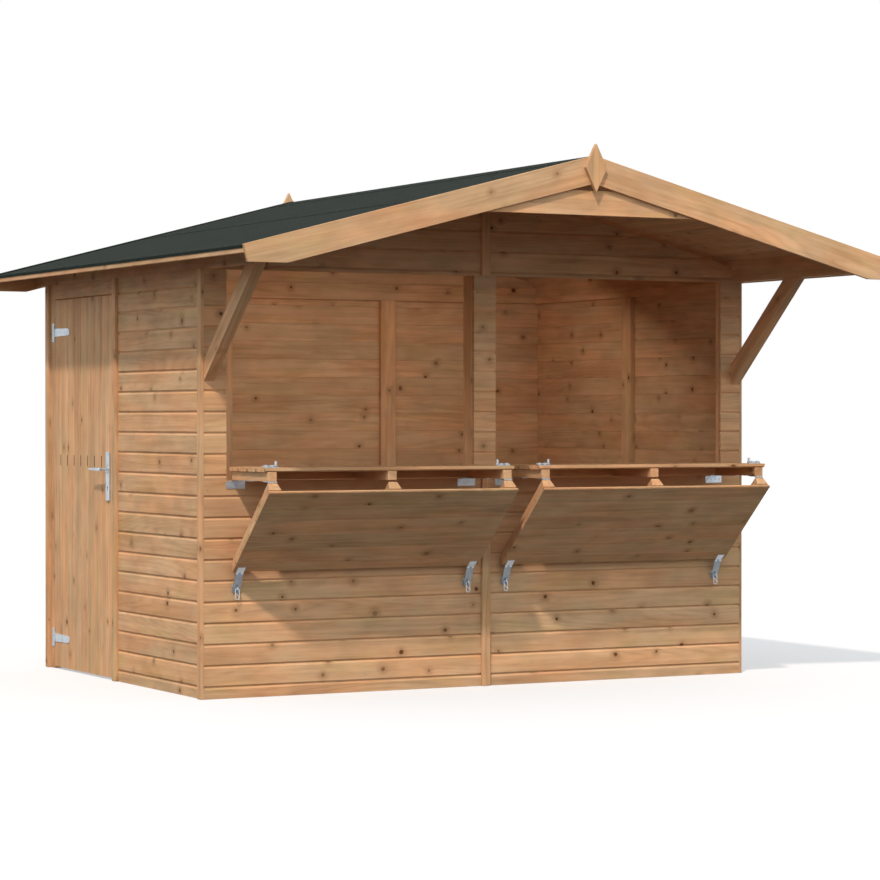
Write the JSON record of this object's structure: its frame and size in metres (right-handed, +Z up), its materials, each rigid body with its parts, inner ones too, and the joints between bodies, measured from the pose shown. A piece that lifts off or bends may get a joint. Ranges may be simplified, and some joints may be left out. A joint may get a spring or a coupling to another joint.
{
  "type": "wooden market stall",
  "caption": "Boarded wooden market stall with a gabled felt roof, braced front canopy, bi-fold serving counters and a ledged side door.",
  "frame": {"origin": "on the ground under the middle of the stall's box", "axes": "+X to the viewer's right along the serving front, +Y from the serving front to the rear, +Z up"},
  "size_m": [3.486, 3.28, 2.5444],
  "materials": {
    "timber": "dip-treated warm orange-brown spruce, matt, with knots and end grain",
    "felt": "mineral-faced bitumen roofing felt, dark green-grey, rough",
    "steel": "bright zinc-plated pressed steel"
  },
  "bodies": {
    "stall": {"front_lower_wall": "timber", "front_stiles": "timber", "front_gable": "timber", "left_wall": "timber", "right_wall": "timber", "rear_wall": "timber", "rear_gable": "timber", "door_jambs": "timber", "door_header": "timber", "wall_studs": "timber", "opening_studs": "timber", "cross_rails": "timber", "side_rails": "timber", "cover_battens": "timber", "wall_plates": "timber", "roof_boards_left": "timber", "roof_boards_right": "timber", "roof_felt_left": "felt", "roof_felt_right": "felt", "eaves_boards": "timber", "front_barge_left": "timber", "front_barge_right": "timber", "rear_barge_left": "timber", "rear_barge_right": "timber", "collar_board": "timber", "finials": "timber", "braces": "timber", "wall_fittings": "steel"},
    "door": {"door_boards": "timber", "door_ledges": "timber", "door_braces": "timber", "door_fittings": "steel"},
    "lever": {"door_lever": "steel"},
    "left_counter": {"counter_left": "timber", "counter_left_battens": "timber", "counter_left_fittings": "steel"},
    "left_support": {"support_left": "timber", "support_left_battens": "timber", "support_left_fittings": "steel"},
    "right_counter": {"counter_right": "timber", "counter_right_battens": "timber", "counter_right_fittings": "steel"},
    "right_support": {"support_right": "timber", "support_right_battens": "timber", "support_right_fittings": "steel"},
    "left_hasps": {"hasps_left": "steel"},
    "right_hasps": {"hasps_right": "steel"}
  },
  "joints": [
    {"name": "door_hinge", "type": "hinge", "parent": "stall", "child": "door", "pos_m": [-1.4875, 1.327, 0.995], "axis": [0, 0, -1], "range_deg": [0, 150]},
    {"name": "lever_turn", "type": "hinge", "parent": "door", "child": "lever", "pos_m": [-1.484, 0.576, 1.045], "axis": [-1, 0, 0], "range_deg": [0, 40], "stiffness_Nm_per_rad": 0.6, "springref_deg": -22.92},
    {"name": "left_counter_hinge", "type": "hinge", "parent": "stall", "child": "left_counter", "pos_m": [-0.715, -0.6035, 1.01], "axis": [-1, 0, 0], "range_deg": [0, 90]},
    {"name": "left_support_hinge", "type": "hinge", "parent": "left_counter", "child": "left_support", "pos_m": [-0.715, -1.00953, 1.01], "axis": [-1, 0, 0], "range_deg": [0, 137.2]},
    {"name": "left_hasp_hinge", "type": "hinge", "parent": "left_support", "child": "left_hasps", "pos_m": [-0.715, -0.64413, 0.57896], "axis": [-1, 0, 0], "range_deg": [0, 132.8]},
    {"name": "right_counter_hinge", "type": "hinge", "parent": "stall", "child": "right_counter", "pos_m": [0.715, -0.6035, 1.01], "axis": [-1, 0, 0], "range_deg": [0, 90]},
    {"name": "right_support_hinge", "type": "hinge", "parent": "right_counter", "child": "right_support", "pos_m": [0.715, -1.00953, 1.01], "axis": [-1, 0, 0], "range_deg": [0, 137.2]},
    {"name": "right_hasp_hinge", "type": "hinge", "parent": "right_support", "child": "right_hasps", "pos_m": [0.715, -0.64413, 0.57896], "axis": [-1, 0, 0], "range_deg": [0, 132.8]}
  ],
  "couplings": [
    {"joint": "left_support_hinge", "follows": "left_counter_hinge", "ratio": 1.5244},
    {"joint": "right_support_hinge", "follows": "right_counter_hinge", "ratio": 1.5244},
    {"joint": "left_hasp_hinge", "follows": "left_counter_hinge", "ratio": 1.4756},
    {"joint": "right_hasp_hinge", "follows": "right_counter_hinge", "ratio": 1.4756}
  ]
}
